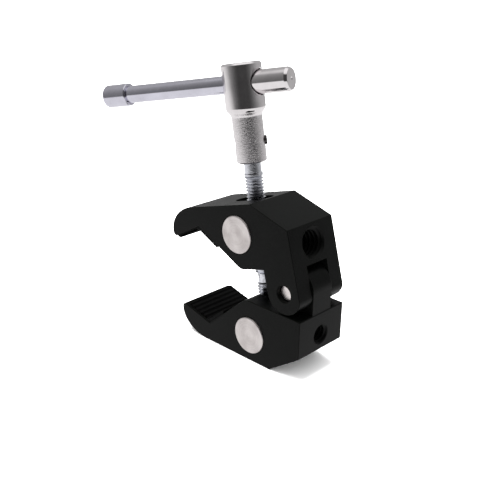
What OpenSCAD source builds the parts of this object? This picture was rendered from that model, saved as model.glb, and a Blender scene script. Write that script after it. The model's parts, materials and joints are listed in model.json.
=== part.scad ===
// Small two-jaw super clamp with a turnbuckle spindle and a sliding T-bar.
//
// Frame: +Z up, Y along the hinge pin, X from the jaw noses towards the hinge.
// The origin is on the lower jaw's flat underside, on the mid-plane.
//
// Both jaws share one V-shaped grip. Their outlines are drawn as [u, h] points
// measured from the hinge axis: u runs towards the noses, h runs outwards, away
// from the other jaw. The lower jaw uses h downwards and the upper jaw upwards.

/* [Jaws] */
// Width of both jaws along the hinge pin
jaw_w = 20.5; // [19:0.5:23]
// Height of the hinge axis above the underside
hinge_h = 27.4; // [27:0.1:28.5]
// Height of the upper jaw's top flat above the hinge axis
top_h = 27.3; // [27:0.1:28.4]
// Distance from the hinge axis down to the lower jaw's inner flat
lower_inner_h = 7.0; // [7:0.1:7.5]
// Distance from the hinge axis up to the upper jaw's inner flat
upper_inner_h = 7.2; // [7.2:0.1:8.2]
// Distance from the hinge axis back to the lower jaw's rear face
lower_rear = 6.7; // [6.2:0.1:7.7]
// Distance from the hinge axis back to the upper jaw's rear face
upper_rear = 5.8; // [5.3:0.1:6.2]
// Angle by which the upper jaw leans nose-down at rest
jaw_tilt = 15.9; // [12:0.1:18]

/* [V grip] */
// Distance of the V's bottom line from the hinge axis, towards the noses
apex_u = 31.8; // [31:0.1:32.7]
// Distance of the V's bottom line from the hinge axis, outwards
apex_h = 19.9; // [19.5:0.1:20.5]
// The first of these distances on the upper jaw
upper_apex_u = 32.4; // [31.8:0.1:33]
// Slope of the nose flank
nose_slope = 14.5; // [12:0.5:17]
// Slope of the heel flank
heel_slope = 41.5; // [40:0.5:43]
// Thickness of the rubber pads on the flanks
pad_t = 1.1; // [0.8:0.1:1.4]
// Number of ribs on a nose pad
rib_count = 6; // [3:1:8]
// Depth of the grooves between the ribs
rib_depth = 0.5; // [0.2:0.1:0.7]

/* [Hinge] */
// Hinge pin diameter
pin_d = 5.2; // [5:0.1:6]
// Depth of each pin end below the jaw's side face
pin_recess = 1.6; // [0.5:0.1:2]
// Radius of the lower jaw's hinge tongue
tongue_r = 6.5; // [6.2:0.1:6.5]
// Width of the hinge tongue
tongue_w = 8.6; // [7:0.2:10]
// Radius of the upper jaw's hinge ears
ear_r = 6.5; // [6.3:0.1:6.6]

/* [Barrel nuts] */
// Diameter of the two cross nuts
nut_d = 12; // [11:0.5:12]
// Amount by which a cross nut stands out of each side face
nut_proud = 0.4; // [0:0.1:1]
// Distance from the hinge axis to the lower nut's axis
lower_arm_r = 23.02; // [22.9:0.02:23.2]
// Distance from the hinge axis to the upper nut's axis
upper_arm_r = 23.65; // [23.55:0.05:23.8]
// Angle of the lower nut below the hinge axis
lower_arm = 54.3; // [54:0.1:55]
// Angle of the upper nut above the hinge axis, with the jaw level
upper_arm = 50.2; // [49.8:0.1:50.6]

/* [Spindle] */
// Major diameter of both threads
thread_d = 5.9; // [5.5:0.1:6]
// Diameter of the plain tail and the relief
neck_d = 4.7; // [4.3:0.1:4.9]
// Diameter of the plain shank above the threads
shank_d = 5.3; // [4.9:0.1:5.4]
// Distance from the lower nut's axis to the spindle's lower end
tail = 7.8; // [7.6:0.1:7.8]
// Distance from the lower nut's axis up to the end of the upper thread
thread_top = 49.8; // [48:0.1:51]
// Length of the plain relief between the two threads
relief = 2.5; // [1:0.5:4]

/* [Handle] */
// Distance from the lower nut's axis up to the handle's collar
collar_s = 53.0; // [52.5:0.1:54]
// Collar diameter
collar_d = 9.4; // [8.8:0.1:10]
// Collar length
collar_len = 13.8; // [13:0.1:15]
// Head diameter
head_d = 12.2; // [11.8:0.1:13]
// Head length, cone included
head_len = 15.9; // [15:0.1:17]
// Turn of the T-bar about the spindle at rest
bar_turn = 17; // [0:1:180]
// T-bar diameter
bar_d = 5.5; // [4.9:0.05:5.6]
// Diameter of the T-bar's thick end and of its cap
knob_d = 7.2; // [6.5:0.1:7.3]
// Whole length of the T-bar, cap included
bar_len = 66; // [60:0.2:80]
// Length of the pressed cap
cap_len = 8.8; // [7:0.1:10]
// Diameter of the roll pin that fixes the handle to the spindle
roll_d = 2.8; // [2.5:0.1:3]

/* [Threaded sockets] */
// Major diameter of the large socket, a 3/8-16 UNC thread
big_socket_d = 9.525; // [9.525]
// Depth of the large socket
big_socket_len = 11; // [9:0.5:11]
// Distance from the hinge axis out to the large socket's axis
big_socket_h = 13.1; // [12.9:0.1:13.4]
// Major diameter of the small socket, a 1/4-20 UNC thread
small_socket_d = 6.35; // [6.35]
// Depth of the small socket
small_socket_len = 10; // [8:0.5:10]
// Distance from the hinge axis out to the small socket's axis
small_socket_h = 14.4; // [14:0.1:15]

/* [Hidden] */
$fn = 96;

black = [0.07, 0.07, 0.075];
rubber = [0.03, 0.03, 0.03];
steel = [0.72, 0.72, 0.74];
chrome = [0.85, 0.85, 0.87];

run_gap = 0.05;         // radial clearance of every running fit
side_gap = 0.3;         // clearance between the tongue and each ear
over = 1;               // how far a cutter reaches past the metal

hinge_x = 20.95;        // from the origin back to the hinge axis
flat_rear = 4.8;        // u at the rear end of the underside
rear_corner_h = 19.35;  // h at the top of the lower jaw's rear chamfer

knuckle_r = 4;          // rounding where the heel flank meets the inner flat
nose_r = 1.2;           // rounding of both noses beside the pads
lower_nose_u = 43.4;    // u at the centre of that rounding, lower jaw
upper_nose_u = 44;      // u at the centre of that rounding, upper jaw
lower_dome_u = 33;      // u where the underside starts to curve up to the nose
upper_dome_u = 34.2;    // u where the top flat starts to curve down to the nose
top_rear = 7.3;         // u at the rear end of the top flat
rear_top_h = 19.1;      // h at the top of the upper jaw's rear face
ear_round = 3;          // rounding of the ears' lower rear corner
nose_land = 0.5;        // u from the nose end of a ribbed pad to that centre
heel_pad_end = 25.2;    // u at the end of the plain pads
fork_roof = upper_inner_h - 0.1;

slot_r = 3.7;           // half the width of the spindle slots
low_slot_r = 4.4;       // half the width of the slot below the lower nut
seat_s = 5.2;           // distance from a nut's axis to its spot-faced seats
seat_r = 4.5;

ring_t = 0.6;
ring_r = 4;
ring_s = -6.7;          // upper face of the end ring, on the spindle axis
groove_r = 2.3;
groove_play = 0.05;     // axial play of the ring in its groove
end_chamfer = 0.5;

nut_len = jaw_w + 2 * nut_proud;
pin_len = jaw_w - 2 * pin_recess;
lower_nut = [-lower_arm_r * cos(lower_arm), -lower_arm_r * sin(lower_arm)];
upper_nut = [-upper_arm_r * cos(upper_arm - jaw_tilt), upper_arm_r * sin(upper_arm - jaw_tilt)];
nut_line = upper_nut - lower_nut;
screw_tilt = atan2(-nut_line[0], nut_line[1]);
nut_gap = norm(nut_line);

cone_s = collar_s + collar_len;
cone_len = 2.9;
head_top = cone_s + head_len;
bar_s = 76.6;           // T-bar axis, on the spindle axis
shank_top = 65;         // upper end of the spindle, inside the collar
roll_s = 59.3;          // roll pin axis, on the spindle axis
roll_turn = 43;         // turn of the roll pin about the spindle
roll_len = collar_d + 0.1;
roll_shift = 0.55;      // the roll pin stands out of the collar on one side only
knob_seat = 3.4;        // inner end of the thick end, from the head's axis
knob_tip = 15.9;        // outer end of the thick end, from the head's axis
knob_well_d = 7.8;      // counterbore that takes the thick end
cap_wall = 1;

// ---- helpers -------------------------------------------------------------

// Points of an arc about centre c; rx and ry let it be elliptical
function arc(c, rx, ry, a0, a1, n = 12) =
    [for (i = [0:n]) let (a = a0 + (a1 - a0) * i / n) c + [rx * cos(a), ry * sin(a)]];

// A jaw's V: u and h of its bottom line, then u at the centre of the nose rounding
lower_vee = [apex_u, apex_h, lower_nose_u];
upper_vee = [upper_apex_u, apex_h, upper_nose_u];

// Height h of the two flanks of a V at u, set back from the pad surface by off
function nose_line(u, off, vee) =
    vee[1] - (u - vee[0]) * tan(nose_slope) + off / cos(nose_slope);
function heel_line(u, off, vee) =
    vee[1] - (vee[0] - u) * tan(heel_slope) + off / cos(heel_slope);

// The line where the two flanks meet, set back by off
function apex(off, vee) =
    let (u = vee[0] + off * (1 / cos(nose_slope) - 1 / cos(heel_slope))
                          / (tan(nose_slope) + tan(heel_slope)))
    [u, nose_line(u, off, vee)];

// The rounded knuckle between the inner flat at height inner and the heel flank
function knuckle(vee, inner) =
    let (u = vee[0] - (heel_line(vee[0], pad_t, vee) - inner) / tan(heel_slope),
         c = [u - knuckle_r * tan(heel_slope / 2), inner + knuckle_r])
    arc(c, knuckle_r, knuckle_r, -90, heel_slope - 90, 8);

// A jaw's front: the rounding that touches the nose flank, then the curve that
// meets the outer flat at u = dome, where h = flat
function front(vee, dome, flat) =
    let (tip = [vee[2], nose_line(vee[2], pad_t, vee) + nose_r / cos(nose_slope)])
    concat(arc(tip, nose_r, nose_r, -90 - nose_slope, 0, 8),
           arc([dome, tip[1]], vee[2] + nose_r - dome, flat - tip[1], 0, 90, 24));

// Extrudes an outline drawn in [u, h], with h upwards (side = 1) or down (-1)
module slab(w, side) {
    rotate([90, 0, 0]) linear_extrude(w, center = true) scale([-1, side]) children();
}

// Puts lower-jaw and hinge shapes in place
module at_hinge() {
    translate([hinge_x, 0, hinge_h]) children();
}

// Puts upper-jaw shapes in place
module at_upper() {
    at_hinge() rotate([0, -jaw_tilt, 0]) children();
}

// Puts shapes on the spindle's axis, with z measured from the lower nut's axis
module on_screw() {
    at_hinge() translate([lower_nut[0], 0, lower_nut[1]]) rotate([0, -screw_tilt, 0]) children();
}

// A cylinder along Y at [u, h]
module cross_hole(u, h, r, w, side) {
    translate([-u, 0, side * h]) rotate([90, 0, 0]) cylinder(r = r, h = w, center = true);
}

// A round-ended slot along u, cut from h0 to h1
module slot(u0, u1, r, h0, h1, side) {
    lift = side > 0 ? h0 : -h1;
    translate([0, 0, lift]) {
        for (u = [u0 + r, u1 - r]) translate([-u, 0, 0]) cylinder(r = r, h = h1 - h0);
        translate([r - u1, -r, 0]) cube([u1 - u0 - 2 * r, 2 * r, h1 - h0]);
    }
}

// A blind socket that opens at the rear face
module socket(d, len, rear, h, side) {
    translate([rear - len, 0, side * h]) rotate([0, 90, 0]) cylinder(d = d, h = len + over);
}

// ---- jaws ----------------------------------------------------------------

module lower_outline() {
    polygon(concat([[-lower_rear, lower_inner_h]], knuckle(lower_vee, lower_inner_h),
        [apex(pad_t, lower_vee)], front(lower_vee, lower_dome_u, hinge_h),
        [[flat_rear, hinge_h], [-lower_rear, rear_corner_h]]));
}

module upper_outline() {
    polygon(concat([[-upper_rear, upper_inner_h]], knuckle(upper_vee, upper_inner_h),
        [apex(pad_t, upper_vee)], front(upper_vee, upper_dome_u, top_h),
        [[top_rear, top_h], [-upper_rear, rear_top_h]]));
}

// The ears below the upper jaw: round the hinge axis, with a smaller rounding at the rear
module ear_outline() {
    back = ear_round - upper_rear;
    c = [back, -sqrt(pow(ear_r - ear_round, 2) - pow(back, 2))];
    turn = atan2(c[1], c[0]) + 360;
    polygon(concat(arc(c, ear_round, ear_round, 180, turn, 8), arc([0, 0], ear_r, ear_r, turn, 360, 32),
        [[ear_r, upper_inner_h + over], [-upper_rear, upper_inner_h + over]]));
}

module lower_jaw() {
    nut_u = lower_arm_r * cos(lower_arm);
    nut_h = lower_arm_r * sin(lower_arm);
    color(black) at_hinge() difference() {
        union() {
            slab(jaw_w, -1) lower_outline();
            cross_hole(0, 0, tongue_r, tongue_w, -1);
            translate([-tongue_r, -tongue_w / 2, -lower_inner_h - over])
                cube([2 * tongue_r, tongue_w, lower_inner_h + over]);
        }
        cross_hole(0, 0, pin_d / 2 + run_gap, jaw_w, -1);
        cross_hole(nut_u, nut_h, nut_d / 2 + run_gap, jaw_w + over, -1);
        slot(10.8, 22, slot_r, lower_inner_h - over, nut_h, -1);
        slot(5.1, 17.3, low_slot_r, nut_h, hinge_h + over, -1);
        socket(small_socket_d, small_socket_len, lower_rear, small_socket_h, -1);
    }
}

module upper_jaw() {
    nut_u = upper_arm_r * cos(upper_arm);
    nut_h = upper_arm_r * sin(upper_arm);
    color(black) at_upper() difference() {
        union() {
            slab(jaw_w, 1) upper_outline();
            slab(jaw_w, 1) ear_outline();
        }
        translate([-ear_r - over, -tongue_w / 2 - side_gap, -ear_r - over])
            cube([2 * ear_r + 2 * over, tongue_w + 2 * side_gap, fork_roof + ear_r + over]);
        cross_hole(0, 0, pin_d / 2, jaw_w + over, 1);
        cross_hole(nut_u, nut_h, nut_d / 2 + run_gap, jaw_w + over, 1);
        slot(nut_u - 6.8, nut_u + 6.8, slot_r, upper_inner_h - over, top_h + over, 1);
        socket(big_socket_d, big_socket_len, upper_rear, big_socket_h, 1);
    }
}

// ---- grip pads -----------------------------------------------------------

// Ribbed pad on a nose flank: flat-topped ribs across the jaw
module nose_pad_outline(vee) {
    end = vee[2] - nose_land;
    pitch = (end - vee[0]) / rib_count;
    ribs = [for (i = [0:rib_count - 1]) for (k = [[0.1, 0], [0.45, 0], [0.6, rib_depth], [0.95, rib_depth]])
        let (u = vee[0] + (i + k[0]) * pitch) [u, nose_line(u, k[1], vee)]];
    polygon(concat([apex(pad_t, vee), [vee[0], vee[1]]], ribs,
        [[end, nose_line(end, pad_t, vee)]]));
}

// Plain pad on a heel flank, with a bevelled end
module heel_pad_outline(vee) {
    polygon([apex(pad_t, vee), [vee[0], vee[1]],
        [heel_pad_end + 0.5, heel_line(heel_pad_end + 0.5, 0, vee)],
        [heel_pad_end, heel_line(heel_pad_end, 0.5, vee)],
        [heel_pad_end, heel_line(heel_pad_end, pad_t, vee)]]);
}

module lower_nose_pad() {
    color(rubber) at_hinge() slab(jaw_w - 0.4, -1) nose_pad_outline(lower_vee);
}

module lower_heel_pad() {
    color(rubber) at_hinge() slab(jaw_w - 0.4, -1) heel_pad_outline(lower_vee);
}

module upper_nose_pad() {
    color(rubber) at_upper() slab(jaw_w - 0.4, 1) nose_pad_outline(upper_vee);
}

module upper_heel_pad() {
    color(rubber) at_upper() slab(jaw_w - 0.4, 1) heel_pad_outline(upper_vee);
}

// ---- hinge pin and cross nuts ---------------------------------------------

// A turned bar of radius r with both end edges chamfered by c, centred on z
module turned_bar(r, len, c) {
    rotate_extrude() polygon([[0, -len / 2], [r - c, -len / 2], [r, c - len / 2],
        [r, len / 2 - c], [r - c, len / 2], [0, len / 2]]);
}

module hinge_pin() {
    color(steel) at_hinge() rotate([90, 0, 0]) turned_bar(pin_d / 2, pin_len, 0.4);
}

// Cross nut on the screw's axis at height s, spot-faced around its thread
module barrel_nut(s) {
    color(steel) on_screw() translate([0, 0, s]) difference() {
        rotate([90, 0, 0]) turned_bar(nut_d / 2, nut_len, 0.35);
        cylinder(d = thread_d + 2 * run_gap, h = nut_d + over, center = true);
        for (side = [0, 180]) rotate([side, 0, 0]) translate([0, 0, seat_s])
            cylinder(r = seat_r, h = nut_d);
    }
}

module lower_barrel_nut() {
    barrel_nut(0);
}

module upper_barrel_nut() {
    barrel_nut(nut_gap);
}

// ---- spindle ---------------------------------------------------------------

// Screw turned from one bar: a right-hand thread below the relief and a
// left-hand thread above it, so one turn moves both nuts by one pitch each
module spindle() {
    rt = thread_d / 2;
    rn = neck_d / 2;
    rs = shank_d / 2;
    mid = nut_gap / 2;
    ring_low = ring_s - ring_t;
    profile = [[0, -tail], [rn - 0.2, -tail], [rn, -tail + 0.2], [rn, ring_low - groove_play],
        [groove_r, ring_low - groove_play], [groove_r, ring_s + groove_play],
        [rn, ring_s + groove_play], [rt, ring_s + groove_play + end_chamfer],
        [rt, mid - relief / 2 - end_chamfer], [rn, mid - relief / 2],
        [rn, mid + relief / 2], [rt, mid + relief / 2 + end_chamfer],
        [rt, thread_top - rt + rs], [rs, thread_top], [rs, shank_top], [0, shank_top]];
    color(steel) on_screw() difference() {
        rotate_extrude() polygon(profile);
        translate([0, 0, roll_s]) rotate([0, 0, roll_turn]) rotate([0, 90, 0])
            translate([0, 0, roll_shift]) cylinder(d = roll_d, h = collar_d, center = true);
    }
}

// Open retaining ring in the groove at the spindle's lower end
module spindle_end_ring() {
    color(steel) on_screw() translate([0, 0, ring_s - ring_t]) difference() {
        cylinder(r = ring_r, h = ring_t);
        translate([0, 0, -over]) cylinder(r = groove_r + run_gap, h = ring_t + 2 * over);
        translate([0, -1.2, -over]) cube([2 * ring_r, 2.4, ring_t + 2 * over]);
    }
}

// ---- handle ----------------------------------------------------------------

module handle_head() {
    rc = collar_d / 2;
    rh = head_d / 2;
    rim = 0.4;
    profile = [[0, collar_s], [rc - rim, collar_s], [rc, collar_s + rim], [rc, cone_s],
        [rh, cone_s + cone_len], [rh, head_top - rim], [rh - rim, head_top], [0, head_top]];
    color(chrome) on_screw() difference() {
        rotate_extrude() polygon(profile);
        translate([0, 0, collar_s - over]) cylinder(d = shank_d, h = shank_top - collar_s + over);
        translate([0, 0, roll_s]) rotate([0, 0, roll_turn]) rotate([0, 90, 0])
            cylinder(d = roll_d, h = 2 * collar_d, center = true);
        translate([0, 0, bar_s]) rotate([0, 0, bar_turn]) rotate([0, 90, 0]) {
            cylinder(d = bar_d + 2 * run_gap, h = 2 * head_d, center = true);
            translate([0, 0, knob_seat]) cylinder(d = knob_well_d, h = head_d);
        }
    }
}

// Hollow spring pin with a slit along it
module handle_roll_pin() {
    color(steel) on_screw() translate([0, 0, roll_s]) rotate([0, 0, roll_turn]) rotate([0, 90, 0])
        translate([0, 0, roll_shift]) difference() {
            cylinder(d = roll_d, h = roll_len, center = true);
            cylinder(d = roll_d - 1.1, h = roll_len + over, center = true);
            translate([0, -0.25, -roll_len]) cube([roll_d, 0.5, 2 * roll_len]);
        }
}

// Places a shape along the T-bar, with z measured from the head's axis
module on_bar() {
    on_screw() translate([0, 0, bar_s]) rotate([0, 0, bar_turn]) rotate([0, 90, 0]) children();
}

// Bar with its thick end turned on it and a centre dimple in that end
module tommy_bar() {
    rb = bar_d / 2;
    rk = knob_d / 2;
    near = knob_tip - bar_len + cap_wall;
    lip = 0.9;
    rim = 0.35;
    dimple = 0.6;
    color(chrome) on_bar() rotate_extrude() polygon([[0, near], [rb - rim, near], [rb, near + rim],
        [rb, knob_seat], [rk - rim, knob_seat], [rk, knob_seat + rim], [rk, knob_tip - lip],
        [rk - rim, knob_tip], [dimple, knob_tip], [0, knob_tip - dimple]]);
}

// Cap pressed on the bar's other end
module bar_end_cap() {
    rb = bar_d / 2;
    rk = knob_d / 2;
    tip = knob_tip - bar_len;
    round_r = 0.7;
    rim = 0.4;
    color(chrome) on_bar() rotate_extrude() polygon(concat(
        [[0, tip + cap_wall], [0, tip]],
        [for (i = [0:6]) [rk - round_r + round_r * sin(15 * i), tip + round_r - round_r * cos(15 * i)]],
        [[rk, tip + cap_len - 2 * rim], [rk - rim, tip + cap_len], [rb, tip + cap_len],
         [rb, tip + cap_wall]]));
}

lower_jaw();
lower_nose_pad();
lower_heel_pad();
upper_jaw();
upper_nose_pad();
upper_heel_pad();
hinge_pin();
lower_barrel_nut();
upper_barrel_nut();
spindle();
spindle_end_ring();
handle_head();
handle_roll_pin();
tommy_bar();
bar_end_cap();
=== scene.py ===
import json
from math import asin, atan2, cos, pi, radians, sin, sqrt, tan

import bmesh
import bpy
from mathutils import Matrix, Vector


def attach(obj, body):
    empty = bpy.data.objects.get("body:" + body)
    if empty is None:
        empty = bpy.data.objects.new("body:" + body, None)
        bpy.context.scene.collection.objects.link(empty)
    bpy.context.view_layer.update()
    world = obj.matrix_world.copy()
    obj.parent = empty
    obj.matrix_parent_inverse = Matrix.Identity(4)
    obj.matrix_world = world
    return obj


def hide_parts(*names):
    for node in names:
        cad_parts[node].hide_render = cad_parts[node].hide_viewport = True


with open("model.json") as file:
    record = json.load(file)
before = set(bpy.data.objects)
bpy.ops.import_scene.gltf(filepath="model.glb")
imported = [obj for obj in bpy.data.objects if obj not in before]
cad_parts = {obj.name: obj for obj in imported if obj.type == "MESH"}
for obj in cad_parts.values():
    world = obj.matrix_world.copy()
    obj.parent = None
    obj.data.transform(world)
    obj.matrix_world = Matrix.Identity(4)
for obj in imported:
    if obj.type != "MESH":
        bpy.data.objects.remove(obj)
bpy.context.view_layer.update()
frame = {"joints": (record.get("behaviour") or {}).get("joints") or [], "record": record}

MM = 0.001
X, Y, Z = Vector((1, 0, 0)), Vector((0, 1, 0)), Vector((0, 0, 1))

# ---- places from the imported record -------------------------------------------

JOINTS = {j["name"]: j for j in frame["joints"]}
MOUNTS = {m["name"]: m for m in frame["record"]["mounts"]}
HINGE = Vector(JOINTS["jaw_hinge"]["pos_m"])
LOWER_NUT = Vector(JOINTS["spindle_turn"]["pos_m"])
UPPER_NUT = Vector(JOINTS["upper_nut_swivel"]["pos_m"])
SCREW_AXIS = Vector(JOINTS["spindle_turn"]["axis"]).normalized()
BAR_AXIS = Vector(JOINTS["t_bar_slide"]["axis"]).normalized()
BIG_SOCKET = Vector(MOUNTS["big_socket"]["pos_m"])
BIG_AXIS = Vector(MOUNTS["big_socket"]["axis"])
SMALL_SOCKET = Vector(MOUNTS["small_socket"]["pos_m"])
JAW_TILT = atan2(BIG_AXIS.z, BIG_AXIS.x)

# ---- sizes in millimetres, as in the CAD source --------------------------------

JAW_W = 20.5
HINGE_H, TOP_H = 27.4, 27.3
LOWER_INNER_H, UPPER_INNER_H = 7.0, 7.2
LOWER_REAR, UPPER_REAR = 6.7, 5.8
NOSE_SLOPE, HEEL_SLOPE = radians(14.5), radians(41.5)
PAD_T, RIB_DEPTH, RIBS = 1.1, 0.5, 6
NOSE_LAND, HEEL_PAD_END = 0.5, 25.2
PAD_INSET = 0.2
FLAT_REAR, REAR_CORNER_H = 4.8, 19.35
KNUCKLE_R = 4
NOSE_R = 1.2
# A jaw's V: u and h of its bottom line, then u at the centre of the nose rounding
LOWER_VEE, UPPER_VEE = (31.8, 19.9, 43.4), (32.4, 19.9, 44)
LOWER_DOME_U, UPPER_DOME_U = 33, 34.2
TOP_REAR, REAR_TOP_H = 7.3, 19.1
PIN_R, PIN_RECESS = 2.6, 1.6
TONGUE_R, TONGUE_W, EAR_R, EAR_ROUND, SIDE_GAP = 6.5, 8.6, 6.5, 3, 0.3
FORK_ROOF = UPPER_INNER_H - 0.1
NUT_R, NUT_PROUD = 6, 0.4
# The spindle's slots: one in the upper jaw, centred on its nut, and two in the lower
# jaw, which meet at SLOTS_MEET_H; the pairs are where a slot starts and ends along u
UPPER_SLOT_R, UPPER_SLOT_HALF = 3.7, 6.8
INNER_SLOT_R, INNER_SLOT = 3.7, (10.8, 22)
OUTER_SLOT_R, OUTER_SLOT = 4.4, (5.1, 17.3)
SLOTS_MEET_H = 19
# Counterbores at both ends of a cross nut's thread, and where they start
NUT_WELL_R, NUT_WELL_S = 4.5, 5.2
THREAD_R, NECK_R, SHANK_R, ROOT_R, THREAD_PITCH = 2.95, 2.35, 2.65, 2.4, 1.0
TAIL, THREAD_TOP, SHANK_TOP, RELIEF = 7.8, 49.8, 65, 2.5
RING_T, RING_R, RING_S, GROOVE_R = 0.6, 4, -6.7, 2.3
COLLAR_S, COLLAR_R, COLLAR_LEN = 53.0, 4.7, 13.8
HEAD_R, HEAD_LEN = 6.1, 15.9
BAR_S, BAR_R, KNOB_R, WELL_R = 76.6, 2.75, 3.6, 3.9
KNOB_SEAT, KNOB_TIP, BAR_LEN, CAP_LEN = 3.4, 15.9, 66, 8.8
ROLL_S, ROLL_R, ROLL_TURN, ROLL_SHIFT = 59.3, 1.4, radians(43), 0.55
ROLL_WALL, ROLL_SLIT, RING_GAP = 0.55, 0.25, 1.2
RUN_GAP, PRESS_GAP = 0.05, 0.02
INCH = 25.4
# Threaded sockets: major and minor radius, pitch and depth
BIG_THREAD = (4.7625, 3.9, INCH / 16, 11)
SMALL_THREAD = (3.175, 2.5, INCH / 20, 10)
# Their countersinks: how much wider than the thread, how deep, how far past the face
BIG_SINK, SMALL_SINK = (0.3, 1.1, 0.1), (0.25, 0.9, 0.08)
SOCKET_EDGE = 0.3

CONE_S = COLLAR_S + COLLAR_LEN
HEAD_TOP = CONE_S + HEAD_LEN
EDGE, TONGUE_EDGE = 0.22, 0.15
SHARP_ANGLE = radians(32)


# ---- frames --------------------------------------------------------------------

def basis(x, y, z, origin):
    """A matrix that takes millimetres along x, y and z to metres in the row frame."""
    m = Matrix((x, y, z)).transposed().to_4x4() @ Matrix.Scale(MM, 4)
    m.translation = origin
    return m


def turned_frame(axis, origin, across=Y):
    """A frame whose z runs along axis; across gives its y before it is squared up."""
    x = across.cross(axis).normalized()
    return basis(x, axis.cross(x), axis, origin)


TILTED = Matrix.Rotation(-JAW_TILT, 3, "Y")
# Jaw outlines use (u, h): u towards the noses, h away from the other jaw, y across.
LOWER = basis(-X, -Z, Y, HINGE)
UPPER = basis(TILTED @ -X, TILTED @ Z, Y, HINGE)
SCREW = turned_frame(SCREW_AXIS, LOWER_NUT)
BAR_CENTRE = LOWER_NUT + BAR_S * MM * SCREW_AXIS
BAR = turned_frame(BAR_AXIS, BAR_CENTRE, across=BAR_AXIS.cross(-SCREW_AXIS))
ROLL = (SCREW @ Matrix.Translation((0, 0, ROLL_S)) @ Matrix.Rotation(ROLL_TURN, 4, "Z")
        @ Matrix.Rotation(pi / 2, 4, "Y"))


# ---- mesh building ---------------------------------------------------------------

def arc(cx, cy, rx, ry, a0, a1, n=12):
    """Points of an arc from angle a0 to a1, in radians."""
    angles = [a0 + (a1 - a0) * i / n for i in range(n + 1)]
    return [(cx + rx * cos(a), cy + ry * sin(a)) for a in angles]


def fillet(points, radii, n=5):
    """Rounds the corners of a closed outline; radii maps a corner's index to its radius."""
    out = []
    for i, p in enumerate(points):
        r = radii.get(i, 0) if isinstance(radii, dict) else radii
        p = Vector(p)
        a = (Vector(points[i - 1]) - p).normalized()
        b = (Vector(points[(i + 1) % len(points)]) - p).normalized()
        half = a.angle(b) / 2
        if r <= 0 or half > radians(89):
            out.append(tuple(p))
            continue
        centre = p + (a + b).normalized() * r / sin(half)
        start, end = p + a * r / tan(half), p + b * r / tan(half)
        a0 = atan2(*reversed(start - centre))
        sweep = (atan2(*reversed(end - centre)) - a0 + pi) % (2 * pi) - pi
        out += arc(*centre, r, r, a0, a0 + sweep, n)
    return out


def inset(points, d):
    """Moves every side of a closed outline inwards by d; the outline runs anticlockwise."""
    out = []
    count = len(points)
    for i in range(count):
        p, q, r = (Vector(points[(i + k) % count]) for k in (-1, 0, 1))
        n1 = Vector((-(q - p).y, (q - p).x)).normalized()
        n2 = Vector((-(r - q).y, (r - q).x)).normalized()
        out.append(tuple(q + (n1 + n2) * d / (1 + n1.dot(n2))))
    return out


def anticlockwise(points):
    area = sum(a[0] * b[1] - b[0] * a[1] for a, b in zip(points, points[1:] + points[:1]))
    return points if area > 0 else points[::-1]


def make_mesh(name, verts, faces, place):
    mesh = bpy.data.meshes.new(name)
    mesh.from_pydata([place @ Vector(v) for v in verts], [], faces)
    bm = bmesh.new()
    bm.from_mesh(mesh)
    bmesh.ops.recalc_face_normals(bm, faces=bm.faces)
    bm.to_mesh(mesh)
    bm.free()
    obj = bpy.data.objects.new(name, mesh)
    bpy.context.scene.collection.objects.link(obj)
    return obj


def loft(name, loops, place):
    """A closed solid through loops of equal length, with flat ends."""
    n = len(loops[0])
    faces = [(k * n + i, k * n + (i + 1) % n, (k + 1) * n + (i + 1) % n, (k + 1) * n + i)
             for k in range(len(loops) - 1) for i in range(n)]
    last = (len(loops) - 1) * n
    faces += [tuple(range(n)), tuple(range(last, last + n))]
    return make_mesh(name, [p for loop in loops for p in loop], faces, place)


def rounding(c, n=3):
    """Steps (set back, depth) round an edge of radius c, from the end face to the side."""
    return [(c * (1 - sin(a)), c * (1 - cos(a))) for a in (pi / 2 * k / n for k in range(n + 1))]


def prism(name, outline, z0, z1, place, edge=EDGE):
    """An extruded outline whose edges at both ends are rounded by edge."""
    outline = anticlockwise(outline)
    steps = rounding(edge) if edge else [(0, 0)]
    low = [(back, z0 + depth) for back, depth in steps]
    high = [(back, z1 - depth) for back, depth in reversed(steps)]
    loops = [[(x, y, z) for x, y in inset(outline, back)] for back, z in low + high]
    return loft(name, loops, place)


def lathe(name, profile, place, segments=128, closed=False):
    """Turns a profile of (r, z) points about z; a closed profile makes a ring."""
    verts, rings = [], []
    angles = [2 * pi * i / segments for i in range(segments)]
    for r, z in profile:
        if r < 1e-6:
            rings.append([len(verts)] * segments)
            verts.append((0, 0, z))
        else:
            rings.append(list(range(len(verts), len(verts) + segments)))
            verts += [(r * cos(a), r * sin(a), z) for a in angles]
    faces = []
    pairs = list(zip(rings, rings[1:])) + ([(rings[-1], rings[0])] if closed else [])
    for a, b in pairs:
        for i in range(segments):
            j = (i + 1) % segments
            quad = [a[i], a[j], b[j], b[i]]
            face = tuple(v for k, v in enumerate(quad) if v != quad[k - 1])
            if len(face) > 2:
                faces.append(face)
    return make_mesh(name, verts, faces, place)


def turned(points, radii, n=5):
    """A lathe profile from (r, z) corners, rounded where radii says, with both ends on the axis.

    Two corners beyond the axis close the outline for fillet, and are taken away again.
    """
    rounded = fillet(points + [(-1, points[-1][1]), (-1, points[0][1])], radii, n)
    return [p for p in rounded if p[0] > -0.5]


def flare_steps(edge, n=4):
    """Steps (inwards, depth) round a mouth, from the face into the bore."""
    return [(edge * sin(a), edge * (1 - cos(a))) for a in (pi / 2 * k / n for k in range(n + 1))]


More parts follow.
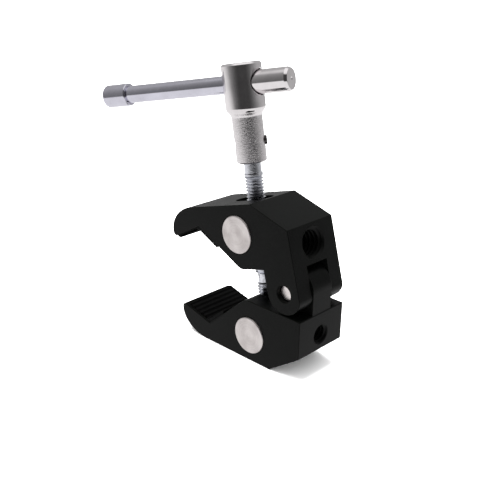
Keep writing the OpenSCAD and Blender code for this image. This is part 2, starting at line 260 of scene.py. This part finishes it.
def flared(r, z0, z1, edge, low=True, high=True, out=2):
    """Profile of a bore cutter from z0 to z1 with rounded mouths at the ends that are open."""
    rows = []
    if low:
        rows += [(r + edge, z0 - out)] + [(r + edge - s, z0 + d) for s, d in flare_steps(edge)]
    else:
        rows += [(r, z0)]
    if high:
        rows += [(r + edge - s, z1 - d) for s, d in reversed(flare_steps(edge))] + [(r + edge, z1 + out)]
    else:
        rows += [(r, z1)]
    return [(0, rows[0][1])] + rows + [(0, rows[-1][1])]


def stadium(u0, u1, r, n=16):
    """A round-ended slot outline along u."""
    return arc(u1 - r, 0, r, r, -pi / 2, pi / 2, n) + arc(u0 + r, 0, r, r, pi / 2, 3 * pi / 2, n)


def slot_cutter(u0, u1, r, h0, h1, place, edge=EDGE, low=False, high=True):
    """A slot along u cut from h0 to h1, flared where it opens in a face."""
    levels = []
    if low:
        levels += [(edge, h0 - 1)] + [(edge - s, h0 + d) for s, d in flare_steps(edge)]
    else:
        levels += [(0, h0)]
    if high:
        levels += [(edge - s, h1 - d) for s, d in reversed(flare_steps(edge))] + [(edge, h1 + 1)]
    else:
        levels += [(0, h1)]
    loops = [[(u, h, y) for u, y in stadium(u0 - grow, u1 + grow, r + grow)] for grow, h in levels]
    return loft("cutter", loops, place)


def box_cutter(lo, hi, place):
    corners = [(lo[0], lo[1]), (hi[0], lo[1]), (hi[0], hi[1]), (lo[0], hi[1])]
    return loft("cutter", [[(x, y, z) for x, y in corners] for z in (lo[2], hi[2])], place)


def plain_cutter(r, z0, z1, place, segments=96):
    """A cylinder to cut with."""
    return lathe("cutter", [(0, z0), (r, z0), (r, z1), (0, z1)], place, segments)


def screw_solid(name, z0, z1, crest_r, root_r, hidden_r, pitch, place, hand=1, segments=96):
    """A closed threaded rod whose ends taper at 45 degrees to hidden_r.

    Each turn has a narrow flat at the crest and a wider one at the root, in shares of the pitch.
    """
    steps = [(-0.06, crest_r), (0.06, crest_r), (0.38, root_r), (0.62, root_r)]
    rows = len(steps)
    turns = int((z1 - z0) / pitch) + 3
    levels = [(z0 - 1.5 * pitch + (t + f) * pitch, r) for t in range(turns) for f, r in steps]
    count = len(levels)
    verts = []
    for i in range(segments):
        angle = hand * 2 * pi * i / segments
        for z, r in levels:
            z += pitch * i / segments
            r = min(r, hidden_r + max(0, z - z0), hidden_r + max(0, z1 - z))
            verts.append((r * cos(angle), r * sin(angle), z))

    def at(i, j):
        return i * count + j if i < segments else j + rows

    faces = []
    for i in range(segments):
        top = count - 1 if i < segments - 1 else count - 1 - rows
        faces += [(at(i, j), at(i + 1, j), at(i + 1, j + 1), at(i, j + 1)) for j in range(top)]
    low = [at(i, 0) for i in range(segments)] + [at(0, j) for j in range(rows, 0, -1)]
    high = [at(i, count - 1) for i in range(segments)]
    high += [at(segments - 1, j) for j in range(count - 2, count - 2 - rows, -1)]
    verts += [(0, 0, levels[0][0]), (0, 0, levels[-1][0] + pitch)]
    for loop, centre in ((low, len(verts) - 2), (high, len(verts) - 1)):
        faces += [(a, b, centre) for a, b in zip(loop, loop[1:] + loop[:1])]
    return make_mesh(name, verts, faces, place)


def cross_bore_cutter(r, across_r, near, far, mouths, place, edge, segments=96):
    """A bore along z through a cylinder of radius across_r whose axis is x.

    mouths says which ends open through its surface, and their rounded edges follow it.
    """
    def surface(y):
        return sqrt(max(across_r ** 2 - y ** 2, 0))

    rows = []
    if mouths[0]:
        rows += [(r + edge, -1, -2)] + [(r + edge - s, -1, d) for s, d in flare_steps(edge)]
    else:
        rows += [(r, 0, near)]
    if mouths[1]:
        rows += [(r + edge - s, 1, d) for s, d in reversed(flare_steps(edge))] + [(r + edge, 1, -2)]
    else:
        rows += [(r, 0, far)]
    angles = [2 * pi * i / segments for i in range(segments)]
    loops = []
    for radius, side, depth in rows:
        points = [(radius * cos(a), radius * sin(a)) for a in angles]
        loops.append([(x, y, side * (surface(y) - depth) if side else depth) for x, y in points])
    return loft("cutter", loops, place)


def combine(obj, operands, operation="DIFFERENCE"):
    """Cuts the operands from obj, or joins them to it, and removes them."""
    group = bpy.data.collections.new("operands")
    for o in operands:
        group.objects.link(o)
    mod = obj.modifiers.new("carve", "BOOLEAN")
    mod.operation = operation
    mod.operand_type = "COLLECTION"
    mod.collection = group
    mod.solver = "EXACT"
    bpy.context.view_layer.update()
    made = bpy.data.meshes.new_from_object(obj.evaluated_get(bpy.context.evaluated_depsgraph_get()))
    obj.modifiers.clear()
    obj.data = made
    bpy.data.collections.remove(group)
    for o in operands:
        bpy.data.objects.remove(o)
    return obj


def finish_piece(obj, material, body, node):
    """Shades, paints and mounts a piece that stands for a CAD node."""
    mesh = obj.data
    mesh.materials.clear()
    mesh.materials.append(material)
    mesh.shade_smooth()
    mesh.set_sharp_from_angle(angle=SHARP_ANGLE)
    mod = obj.modifiers.new("normals", "WEIGHTED_NORMAL")
    mod.keep_sharp = True
    mod.weight = 80
    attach(obj, body)
    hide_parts(node)
    return obj


# ---- materials -----------------------------------------------------------------

def add(tree, kind, inputs=None, **props):
    """Adds a shader node; inputs maps a socket's name or number to a value or another socket."""
    n = tree.nodes.new("ShaderNode" + kind)
    for key, value in props.items():
        setattr(n, key, value)
    for key, value in (inputs or {}).items():
        if isinstance(value, bpy.types.NodeSocket):
            tree.links.new(value, n.inputs[key])
        else:
            n.inputs[key].default_value = value
    return n


def new_material(name, **sockets):
    m = bpy.data.materials.new(name)
    m.use_nodes = True
    shader = m.node_tree.nodes["Principled BSDF"]
    for key, value in sockets.items():
        shader.inputs[key.replace("_", " ")].default_value = value
    return m, m.node_tree, shader


def ramp(tree, fac, stops, interpolation="LINEAR"):
    """A colour ramp; stops are (position, colour), where a single number means grey."""
    n = add(tree, "ValToRGB", {"Fac": fac})
    n.color_ramp.interpolation = interpolation
    elements = n.color_ramp.elements
    while len(elements) < len(stops):
        elements.new(0.5)
    for e, (position, colour) in zip(elements, stops):
        e.position = position
        e.color = (*colour, 1) if hasattr(colour, "__len__") else (colour, colour, colour, 1)
    return n.outputs["Color"]


def noise(tree, vector, scale, detail=3, rough=0.5):
    fields = {"Vector": vector, "Scale": scale, "Detail": detail, "Roughness": rough}
    return add(tree, "TexNoise", fields).outputs["Fac"]


def math_node(tree, operation, a, b=0.0):
    return add(tree, "Math", {0: a, 1: b}, operation=operation).outputs[0]


def vector_node(tree, operation, a, b, output=0):
    return add(tree, "VectorMath", {0: a, 1: b}, operation=operation).outputs[output]


def scaled(tree, vector, factor):
    return add(tree, "VectorMath", {0: vector, "Scale": factor}, operation="SCALE").outputs[0]


def bump(tree, shader, height, distance, strength=1.0):
    n = add(tree, "Bump", {"Height": height, "Distance": distance, "Strength": strength})
    tree.links.new(n.outputs["Normal"], shader.inputs["Normal"])


def mix(tree, factor, a, b):
    """Blends colour a into b; each is a socket or a value."""
    return add(tree, "Mix", {0: factor, 6: a, 7: b}, data_type="RGBA").outputs[2]


def smooth(tree, value, start, end):
    """Rises from 0 to 1 as value goes from start to end."""
    fields = {"Value": value, "From Min": start, "From Max": end}
    return add(tree, "MapRange", fields, interpolation_type="SMOOTHSTEP").outputs[0]


def blend(tree, value, start, end, a, b):
    return mix(tree, smooth(tree, value, start, end), a, b)


def place_of(tree):
    return add(tree, "TexCoord").outputs["Object"]


def from_axis(tree, origin, axis):
    """The vector from origin, and how far it reaches along axis."""
    offset = vector_node(tree, "SUBTRACT", place_of(tree), tuple(origin))
    return offset, vector_node(tree, "DOT_PRODUCT", offset, tuple(axis), "Value")


def lathe_marks(tree, origin, axis, along, around):
    """A vector for noise that is stretched round an axis, as marks from turning are."""
    offset, s = from_axis(tree, origin, axis)
    step = scaled(tree, tuple(axis), math_node(tree, "MULTIPLY", s, along))
    return vector_node(tree, "ADD", step, scaled(tree, offset, around)), s


def set_ramp(tree, shader, socket, fac, stops):
    tree.links.new(ramp(tree, fac, stops), shader.inputs[socket])


def anodised():
    m, t, shader = new_material("black_anodised", Specular_IOR_Level=0.08)
    where = place_of(t)
    grain = noise(t, where, 9000, 2)
    cloud = noise(t, where, 140, 4)
    dark, light = (0.0008, 0.0009, 0.0008), (0.0015, 0.0017, 0.0015)
    set_ramp(t, shader, "Base Color", cloud, [(0.3, dark), (0.7, light)])
    set_ramp(t, shader, "Roughness", cloud, [(0.25, 0.3), (0.75, 0.4)])
    bump(t, shader, grain, 0.00002, 0.35)
    return m


def rubber():
    m, t, shader = new_material("pad_rubber", Specular_IOR_Level=0.1)
    where = place_of(t)
    cloud = noise(t, where, 400, 5)
    set_ramp(t, shader, "Base Color", cloud, [(0.3, 0.001), (0.7, 0.002)])
    set_ramp(t, shader, "Roughness", cloud, [(0.3, 0.7), (0.7, 0.85)])
    bump(t, shader, noise(t, where, 3500, 3), 0.00004, 0.5)
    return m


def turned_face(name, centre, axis, radius, tone=0.62):
    """Turned and plated steel with faint rings round axis on its end faces."""
    m, t, shader = new_material(name, Metallic=1.0)
    offset, s = from_axis(t, centre, axis)
    flat = vector_node(t, "SUBTRACT", offset, scaled(t, tuple(axis), s))
    r = add(t, "VectorMath", {0: flat}, operation="LENGTH").outputs["Value"]
    fields = {"W": math_node(t, "DIVIDE", r, radius), "Scale": 34, "Detail": 3, "Roughness": 0.7}
    rings = add(t, "TexNoise", fields, noise_dimensions="1D").outputs["Fac"]
    cloud = noise(t, place_of(t), 260, 3)
    grain = math_node(t, "ADD", math_node(t, "MULTIPLY", rings, 0.6), math_node(t, "MULTIPLY", cloud, 0.4))
    dark, bright = [tuple(tone * k for k in tint) for tint in ((0.80, 0.73, 0.72), (1.2, 1.13, 1.11))]
    set_ramp(t, shader, "Base Color", grain, [(0.38, dark), (0.62, bright)])
    set_ramp(t, shader, "Roughness", grain, [(0.3, 0.42), (0.7, 0.26)])
    bump(t, shader, rings, 0.00003, 0.6)
    return m


def chrome(name, origin, axis, brushed_to, dull, grooves):
    """Polished plate over turning marks round axis.

    Before brushed_to metres along it the plate is tinted by dull, and coarser by grooves.
    """
    m, t, shader = new_material(name, Metallic=1.0)
    marks, s = lathe_marks(t, origin, axis, 30, 1)
    fine = noise(t, marks, 300, 4, 0.65)
    cloud = noise(t, place_of(t), 220, 4)
    plate = ramp(t, cloud, [(0.3, (0.70, 0.67, 0.68)), (0.7, (0.80, 0.77, 0.78))])
    coarse = smooth(t, s, brushed_to + 0.0002, brushed_to - 0.0002)
    tint = mix(t, coarse, (1, 1, 1, 1), (*dull, 1))
    tinted = add(t, "Mix", {0: 1.0, 6: plate, 7: tint}, data_type="RGBA", blend_type="MULTIPLY").outputs[2]
    t.links.new(tinted, shader.inputs["Base Color"])
    marks, s = lathe_marks(t, origin, axis, 14, 2)
    scratch = noise(t, marks, 500, 5, 0.7)
    polished = ramp(t, fine, [(0.3, 0.06), (0.7, 0.12)])
    brushed = ramp(t, scratch, [(0.3, 0.07), (0.7, 0.14)])
    t.links.new(mix(t, coarse, polished, brushed), shader.inputs["Roughness"])
    cut = math_node(t, "MULTIPLY", math_node(t, "MULTIPLY", scratch, coarse), grooves)
    bump(t, shader, math_node(t, "ADD", math_node(t, "MULTIPLY", fine, 0.3), cut), 0.00001)
    return m


BLACK = anodised()
RUBBER = rubber()
PLATED = chrome("plated_screw", LOWER_NUT, SCREW_AXIS, 1, (0.90, 0.95, 1.0), 4)
CHROME_HEAD = chrome("chrome_head", LOWER_NUT, SCREW_AXIS, (CONE_S + 1.4) * MM, (1, 1, 1), 6)
CHROME_BAR = chrome("chrome_bar", BAR_CENTRE, BAR_AXIS, 0, (0.82, 0.84, 0.93), 1.5)


# ---- jaws ------------------------------------------------------------------------

def nose_line(u, off, vee):
    return vee[1] - (u - vee[0]) * tan(NOSE_SLOPE) + off / cos(NOSE_SLOPE)


def heel_line(u, off, vee):
    return vee[1] - (vee[0] - u) * tan(HEEL_SLOPE) + off / cos(HEEL_SLOPE)


def apex(off, vee):
    u = vee[0] + off * (1 / cos(NOSE_SLOPE) - 1 / cos(HEEL_SLOPE)) / (tan(NOSE_SLOPE) + tan(HEEL_SLOPE))
    return u, nose_line(u, off, vee)


def knuckle(vee, inner):
    u = vee[0] - (heel_line(vee[0], PAD_T, vee) - inner) / tan(HEEL_SLOPE) - KNUCKLE_R * tan(HEEL_SLOPE / 2)
    return arc(u, inner + KNUCKLE_R, KNUCKLE_R, KNUCKLE_R, -pi / 2, HEEL_SLOPE - pi / 2, 10)


def front(vee, dome, flat):
    """The nose rounding and the curve from it to the outer flat."""
    tip = nose_line(vee[2], PAD_T, vee) + NOSE_R / cos(NOSE_SLOPE)
    nose = arc(vee[2], tip, NOSE_R, NOSE_R, -pi / 2 - NOSE_SLOPE, 0, 10)
    return nose + arc(dome, tip, vee[2] + NOSE_R - dome, flat - tip, 0, pi / 2, 40)[1:]


def socket_cutters(place, thread, countersink):
    """What cuts a threaded socket: its bore, its thread and its countersink."""
    major, minor, pitch, depth = thread
    wider, deep, past = countersink
    wide = major + wider
    sink = [(0, -deep - 0.3), (minor - 0.1, -deep), (wide, past), (wide, 1), (0, 1)]
    return [
        lathe("cutter", flared(minor, -depth, 0, SOCKET_EDGE, low=False), place),
        screw_solid("cutter", -depth + 1, 2, major, minor, minor - 0.2, pitch, place),
        lathe("cutter", sink, place),
    ]


def lower_jaw():
    outline = [(-LOWER_REAR, LOWER_INNER_H)] + knuckle(LOWER_VEE, LOWER_INNER_H) + [apex(PAD_T, LOWER_VEE)]
    outline += front(LOWER_VEE, LOWER_DOME_U, HINGE_H)
    count = len(outline)
    outline += [(FLAT_REAR, HINGE_H), (-LOWER_REAR, REAR_CORNER_H)]
    outline = fillet(outline, {0: 0.3, count: 0.4, count + 1: 0.4})
    jaw = prism("lower_jaw_body", outline, -JAW_W / 2, JAW_W / 2, LOWER)
    bottom = LOWER_INNER_H + 1
    tongue = arc(0, 0, TONGUE_R, TONGUE_R, pi, 2 * pi, 40) + [(TONGUE_R, bottom), (-TONGUE_R, bottom)]
    combine(jaw, [prism("tongue", tongue, -TONGUE_W / 2, TONGUE_W / 2, LOWER, TONGUE_EDGE)], "UNION")
    half = JAW_W / 2
    nut = LOWER @ Matrix.Translation(nut_place(LOWER))
    combine(jaw, [
        lathe("cutter", flared(PIN_R + RUN_GAP, -TONGUE_W / 2, TONGUE_W / 2, TONGUE_EDGE), LOWER),
        lathe("cutter", flared(NUT_R + RUN_GAP, -half, half, EDGE), nut),
        slot_cutter(*INNER_SLOT, INNER_SLOT_R, LOWER_INNER_H, SLOTS_MEET_H, LOWER, low=True, high=False),
        slot_cutter(*OUTER_SLOT, OUTER_SLOT_R, SLOTS_MEET_H, HINGE_H, LOWER),
        *socket_cutters(turned_frame(X, SMALL_SOCKET), SMALL_THREAD, SMALL_SINK),
    ])
    return finish_piece(jaw, BLACK, "lower_jaw", "lower_jaw")


def nut_place(place):
    """Where a jaw's cross nut lies in that jaw's (u, h) frame."""
    centre = LOWER_NUT if place is LOWER else UPPER_NUT
    return place.inverted() @ centre


def upper_jaw():
    back = EAR_ROUND - UPPER_REAR
    foot = -sqrt((EAR_R - EAR_ROUND) ** 2 - back ** 2)
    turn = atan2(foot, back)
    outline = arc(back, foot, EAR_ROUND, EAR_ROUND, -pi, turn, 10)
    outline += arc(0, 0, EAR_R, EAR_R, turn, 0, 40)[1:]
    outline += [(EAR_R, UPPER_INNER_H)] + knuckle(UPPER_VEE, UPPER_INNER_H) + [apex(PAD_T, UPPER_VEE)]
    outline += front(UPPER_VEE, UPPER_DOME_U, TOP_H)
    count = len(outline)
    outline += [(TOP_REAR, TOP_H), (-UPPER_REAR, REAR_TOP_H)]
    outline = fillet(outline, {count: 0.5, count + 1: 0.5})
    half = JAW_W / 2
    jaw = prism("upper_jaw_body", outline, -half, half, UPPER)
    nut = nut_place(UPPER)
    slot = (nut.x - UPPER_SLOT_HALF, nut.x + UPPER_SLOT_HALF)
    gap = TONGUE_W / 2 + SIDE_GAP
    combine(jaw, [
        box_cutter((-9, -9, -gap), (9, FORK_ROOF, gap), UPPER),
        lathe("cutter", flared(PIN_R + PRESS_GAP, -half, half, 0.3), UPPER),
        lathe("cutter", flared(NUT_R + RUN_GAP, -half, half, EDGE), UPPER @ Matrix.Translation(nut)),
        slot_cutter(*slot, UPPER_SLOT_R, UPPER_INNER_H, TOP_H, UPPER, low=True),
        *socket_cutters(turned_frame(BIG_AXIS, BIG_SOCKET), BIG_THREAD, BIG_SINK),
    ])
    return finish_piece(jaw, BLACK, "upper_jaw", "upper_jaw")


# ---- grip pads -------------------------------------------------------------------

def nose_pad(name, place, vee, body, node):
    """Ribbed pad: flat-topped ribs with rounded shoulders across the jaw."""
    end = vee[2] - NOSE_LAND
    pitch = (end - vee[0]) / RIBS
    steps = ((0.1, 0), (0.45, 0), (0.6, RIB_DEPTH), (0.95, RIB_DEPTH))
    outline = [apex(PAD_T, vee), vee[:2]]
    for i in range(RIBS):
        for share, down in steps:
            u = vee[0] + (i + share) * pitch
            outline.append((u, nose_line(u, down, vee)))
    outline.append((end, nose_line(end, PAD_T, vee)))
    radii = {k: 0.12 for k in range(2, len(outline) - 1)}
    half = JAW_W / 2 - PAD_INSET
    pad = prism(name, fillet(outline, radii, 3), -half, half, place, 0.12)
    return finish_piece(pad, RUBBER, body, node)


def heel_pad(name, place, vee, body, node):
    """Plain pad with a bevelled end."""
    end = HEEL_PAD_END
    outline = [apex(PAD_T, vee), vee[:2], (end + 0.5, heel_line(end + 0.5, 0, vee)),
               (end, heel_line(end, 0.5, vee)), (end, heel_line(end, PAD_T, vee))]
    half = JAW_W / 2 - PAD_INSET
    pad = prism(name, fillet(outline, {2: 0.2, 3: 0.2}, 4), -half, half, place, 0.15)
    return finish_piece(pad, RUBBER, body, node)


# ---- hinge pin and cross nuts ------------------------------------------------------

def hinge_pin():
    half = JAW_W / 2 - PIN_RECESS
    profile = turned([(0, -half), (PIN_R, -half), (PIN_R, half), (0, half)], {1: 0.45, 2: 0.45})
    pin = lathe("hinge_pin_turned", profile, turned_frame(Y, HINGE, Z))
    steel = turned_face("turned_pin", HINGE, Y, PIN_R * MM, 0.88)
    return finish_piece(pin, steel, "upper_jaw", "hinge_pin")


def barrel_nut(name, centre, body, node):
    half = JAW_W / 2 + NUT_PROUD
    profile = turned([(0, -half), (NUT_R, -half), (NUT_R, half), (0, half)], {1: 0.35, 2: 0.35})
    nut = lathe(name, profile, turned_frame(Y, centre, Z))
    axis = turned_frame(SCREW_AXIS, centre)
    beyond = NUT_R + 3
    combine(nut, [
        plain_cutter(THREAD_R + RUN_GAP, 1 - beyond, beyond - 1, axis),
        plain_cutter(NUT_WELL_R, NUT_WELL_S, beyond, axis),
        plain_cutter(NUT_WELL_R, -beyond, -NUT_WELL_S, axis),
    ])
    steel = turned_face("turned_" + body, centre, Y, NUT_R * MM)
    return finish_piece(nut, steel, body, node)


# ---- spindle -----------------------------------------------------------------------

def spindle():
    mid = (UPPER_NUT - LOWER_NUT).length / MM / 2
    low, high = RING_S - RING_T - RUN_GAP, RING_S + RUN_GAP
    corners = [(0, -TAIL), (NECK_R, -TAIL), (NECK_R, low), (GROOVE_R, low), (GROOVE_R, high), (NECK_R, high),
               (NECK_R, THREAD_TOP - 1.5), (THREAD_R, THREAD_TOP - 0.9), (THREAD_R, THREAD_TOP - 0.3),
               (SHANK_R, THREAD_TOP), (SHANK_R, SHANK_TOP), (0, SHANK_TOP)]
    bar = lathe("spindle_threaded", turned(corners, {1: 0.2}), SCREW, 96)
    radii = (THREAD_R, ROOT_R, NECK_R - 0.1)
    combine(bar, [
        screw_solid("thread", high, mid - RELIEF / 2, *radii, THREAD_PITCH, SCREW),
        screw_solid("thread", mid + RELIEF / 2, THREAD_TOP, *radii, THREAD_PITCH, SCREW, hand=-1),
    ], "UNION")
    return finish_piece(bar, PLATED, "screw", "spindle")


def split_ring(outer, inner, gap, outer_steps, inner_steps):
    """A C outline whose opening is twice gap wide."""
    a0, a1 = asin(gap / outer), asin(gap / inner)
    outside = arc(0, 0, outer, outer, a0, 2 * pi - a0, outer_steps)
    return outside + arc(0, 0, inner, inner, 2 * pi - a1, a1, inner_steps)


def end_ring():
    """Open retaining ring: a C with rounded lips."""
    outline = split_ring(RING_R, GROOVE_R + RUN_GAP, RING_GAP, 60, 48)
    outline = fillet(outline, {0: 0.25, 60: 0.25, 61: 0.15, 109: 0.15})
    ring = prism("end_ring_formed", outline, RING_S - RING_T, RING_S, SCREW, 0.1)
    return finish_piece(ring, PLATED, "end_ring", "spindle_end_ring")


# ---- handle ------------------------------------------------------------------------

def handle_head():
    corners = [(0, COLLAR_S), (COLLAR_R - 0.5, COLLAR_S), (COLLAR_R, COLLAR_S + 0.4),
               (COLLAR_R, CONE_S + 0.4), (HEAD_R, CONE_S + 2.3),
               (HEAD_R, HEAD_TOP - 0.6), (HEAD_R - 0.5, HEAD_TOP), (0, HEAD_TOP)]
    radii = {3: 1.4, 4: 1.6, 5: 0.15, 6: 0.2}
    head = lathe("handle_head_turned", turned(corners, radii, 8), SCREW, 160)
    combine(head, [
        cross_bore_cutter(BAR_R + RUN_GAP, HEAD_R, 0, KNOB_SEAT + 0.1, (True, False), BAR, 0.25),
        cross_bore_cutter(WELL_R, HEAD_R, KNOB_SEAT, 0, (False, True), BAR, 0.3, 128),
        cross_bore_cutter(ROLL_R, COLLAR_R, 0, 0, (True, True), ROLL, 0.12, 48),
        lathe("cutter", flared(SHANK_R, COLLAR_S, SHANK_TOP, 0.3, high=False), SCREW, 96),
    ])
    return finish_piece(head, CHROME_HEAD, "screw", "handle_head")


def roll_pin():
    """Rolled spring pin: a C section with a slit along it."""
    outline = split_ring(ROLL_R, ROLL_R - ROLL_WALL, ROLL_SLIT, 40, 30)
    half = COLLAR_R + 0.05
    pin = prism("roll_pin_rolled", outline, ROLL_SHIFT - half, ROLL_SHIFT + half, ROLL, 0.12)
    axis = (ROLL.to_3x3() @ Z).normalized()
    # The pin's steel is made nearly black, a tone of 0.1: painted shade that stands for the dark shadow gap
    # round the pin's end in its hole.
    steel = turned_face("turned_roll_painted_shade", ROLL.translation, axis, ROLL_R * MM, 0.1)
    return finish_piece(pin, steel, "screw", "handle_roll_pin")


def tommy_bar():
    near = KNOB_TIP - BAR_LEN + 1
    corners = [(0, near), (BAR_R, near), (BAR_R, KNOB_SEAT), (KNOB_R, KNOB_SEAT), (KNOB_R, KNOB_TIP - 0.9),
               (KNOB_R - 0.4, KNOB_TIP), (0.6, KNOB_TIP), (0, KNOB_TIP - 0.6)]
    bar = lathe("tommy_bar_turned", turned(corners, {1: 0.25, 3: 0.25, 4: 0.3, 5: 0.2, 6: 0.1}, 6), BAR)
    return finish_piece(bar, CHROME_BAR, "t_bar", "tommy_bar")


def bar_cap():
    tip = KNOB_TIP - BAR_LEN
    end = tip + CAP_LEN
    corners = [(0, tip), (KNOB_R, tip), (KNOB_R, end), (BAR_R, end), (BAR_R, tip + 1), (0, tip + 1)]
    profile = turned(corners, {1: 0.7, 2: 0.4, 3: 0.1}, 8)
    cap = lathe("bar_cap_pressed", profile, BAR)
    return finish_piece(cap, CHROME_BAR, "t_bar", "bar_end_cap")


lower_jaw()
upper_jaw()
nose_pad("lower_nose_pad_ribbed", LOWER, LOWER_VEE, "lower_jaw", "lower_nose_pad")
heel_pad("lower_heel_pad_plain", LOWER, LOWER_VEE, "lower_jaw", "lower_heel_pad")
nose_pad("upper_nose_pad_ribbed", UPPER, UPPER_VEE, "upper_jaw", "upper_nose_pad")
heel_pad("upper_heel_pad_plain", UPPER, UPPER_VEE, "upper_jaw", "upper_heel_pad")
hinge_pin()
barrel_nut("lower_nut_turned", LOWER_NUT, "lower_nut", "lower_barrel_nut")
barrel_nut("upper_nut_turned", UPPER_NUT, "upper_nut", "upper_barrel_nut")
spindle()
end_ring()
handle_head()
roll_pin()
tommy_bar()
bar_cap()


# ---- camera, floor and light ---------------------------------------------------------

CAM_AZ, CAM_EL, CAM_ROLL = radians(43.28), radians(22.08), radians(1.19)
CAM_PLACE = Vector((0.15290, -0.16509, 0.1237))
CAM_LENS, CAM_SENSOR = 55.14, 36
TO_CAMERA = Vector((sin(CAM_AZ), -cos(CAM_AZ), 0))
TO_RIGHT = Vector((cos(CAM_AZ), sin(CAM_AZ), 0))

# A plain studio for the metal to mirror: a white table, a wall that darkens towards the
# camera, and a soft light overhead. Angles are in degrees.
TABLE, WALL_FRONT, WALL_BACK, CEILING = 1.0, 0.05, 0.5, 1.1
WALL_DARKENS = (20, 120)
TABLE_TOP, CEILING_FROM = (-14, -6), (45, 65)
SOFT_LIGHT = 1.6
FLOOR_R = 4
KEY_TURN, KEY_HEIGHT = radians(-133), radians(81)
KEY_AWAY, KEY_SIZE, KEY_WATTS, KEY_TARGET = 1.2, (1.2, 0.6), 36, Vector((0, 0, 0.02))


def make_camera():
    back = TO_CAMERA * cos(CAM_EL) + Z * sin(CAM_EL)
    up = back.cross(TO_RIGHT)
    right = cos(CAM_ROLL) * TO_RIGHT + sin(CAM_ROLL) * up
    up = -sin(CAM_ROLL) * TO_RIGHT + cos(CAM_ROLL) * up
    data = bpy.data.cameras.new("camera")
    data.lens, data.sensor_width, data.clip_start = CAM_LENS, CAM_SENSOR, 0.01
    obj = bpy.data.objects.new("camera", data)
    obj.matrix_world = Matrix((right, up, back)).transposed().to_4x4()
    obj.matrix_world.translation = CAM_PLACE
    bpy.context.scene.collection.objects.link(obj)
    bpy.context.scene.camera = obj


def make_floor():
    """A wide pale table."""
    rim = [(x, y, 0) for x, y in arc(0, 0, FLOOR_R, FLOOR_R, 0, 2 * pi, 96)[:-1]]
    mesh = bpy.data.meshes.new("floor")
    mesh.from_pydata(rim, [], [tuple(range(len(rim)))])
    obj = bpy.data.objects.new("floor", mesh)
    bpy.context.scene.collection.objects.link(obj)
    m, t, shader = new_material("floor_paper", Roughness=0.9)
    cloud = noise(t, place_of(t), 30, 3)
    t.links.new(ramp(t, cloud, [(0, 0.90), (1, 0.92)]), shader.inputs["Base Color"])
    mesh.materials.append(m)
    obj.visible_glossy = False


def make_world():
    """White to the camera and even for soft light; the metal mirrors a plain studio."""
    world = bpy.data.worlds.new("studio")
    world.use_nodes = True
    bpy.context.scene.world = world
    t = world.node_tree
    way = add(t, "SeparateXYZ", {0: add(t, "TexCoord").outputs["Generated"]})
    azimuth = math_node(t, "ARCTAN2", way.outputs[0], math_node(t, "MULTIPLY", way.outputs[1], -1.0))
    turns = math_node(t, "DIVIDE", azimuth, 2 * pi)
    turn = math_node(t, "FRACT", math_node(t, "ADD", turns, 0.5 - CAM_AZ / (2 * pi)))
    away = math_node(t, "MULTIPLY", math_node(t, "ABSOLUTE", math_node(t, "SUBTRACT", turn, 0.5)), 360)
    height = math_node(t, "MULTIPLY", math_node(t, "ARCSINE", way.outputs[2]), 180 / pi)
    wall = blend(t, away, *WALL_DARKENS, grey(WALL_FRONT), grey(WALL_BACK))
    room = blend(t, height, *CEILING_FROM, wall, grey(CEILING))
    mirrored = blend(t, height, *TABLE_TOP, grey(TABLE), room)
    path = add(t, "LightPath").outputs
    lit = mix(t, path["Is Glossy Ray"], grey(SOFT_LIGHT), mirrored)
    seen = mix(t, path["Is Camera Ray"], lit, grey(1))
    t.links.new(seen, t.nodes["Background"].inputs["Color"])


def grey(level):
    return (level, level, level, 1)


def make_key_light():
    """A wide soft light above and behind the object, which the metal does not mirror."""
    data = bpy.data.lights.new("key", "AREA")
    data.shape, data.size, data.size_y = "RECTANGLE", KEY_SIZE[0], KEY_SIZE[1]
    data.energy = KEY_WATTS
    level = TO_CAMERA * cos(KEY_TURN) + TO_RIGHT * sin(KEY_TURN)
    obj = bpy.data.objects.new("key", data)
    obj.location = (level * cos(KEY_HEIGHT) + Z * sin(KEY_HEIGHT)) * KEY_AWAY
    obj.rotation_euler = (KEY_TARGET - obj.location).to_track_quat("-Z", "Y").to_euler()
    obj.visible_glossy = False
    bpy.context.scene.collection.objects.link(obj)


make_camera()
make_floor()
make_world()
make_key_light()
bpy.context.scene.view_settings.view_transform = "Standard"
